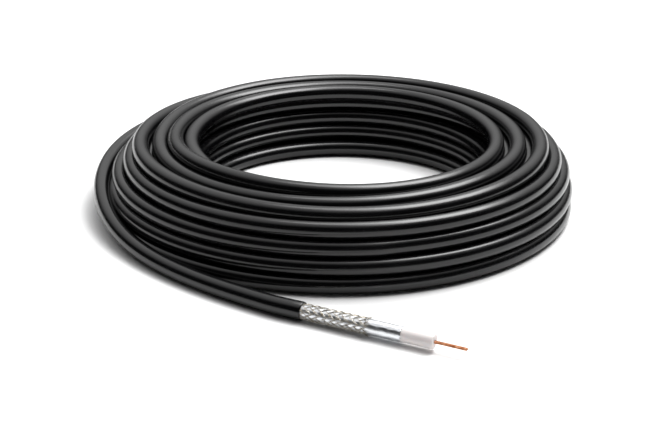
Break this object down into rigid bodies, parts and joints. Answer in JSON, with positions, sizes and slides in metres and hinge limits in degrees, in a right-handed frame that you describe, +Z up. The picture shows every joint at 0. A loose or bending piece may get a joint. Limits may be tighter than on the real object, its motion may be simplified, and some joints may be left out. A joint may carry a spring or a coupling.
{
  "type": "coaxial cable coil",
  "caption": "Loose round coil of coaxial cable lying flat, with one free tail whose end is stripped in steps to its braid, foil, dielectric and conductor.",
  "frame": {"origin": "on the floor, under the middle of the whole part's box", "axes": "+Z up along the coil's axis, -Y towards the stripped end, +X to the right seen from that side"},
  "size_m": [0.207, 0.2466, 0.0325],
  "materials": {
    "jacket_black": "extruded black PVC jacket, glossy",
    "tinned_braid": "woven bare tinned wires, bright with a tan cast",
    "shield_foil": "thin laminated foil, mirror bright with lengthwise creases",
    "foam_white": "foamed polyethylene, milky white, smooth",
    "bare_copper": "bare twisted copper strands"
  },
  "bodies": {
    "root": {"coil_turns": "jacket_black", "cable_tail": "jacket_black", "shield_braid": "tinned_braid", "shield_foil": "shield_foil", "dielectric": "foam_white", "conductor": "bare_copper"}
  },
  "joints": []
}
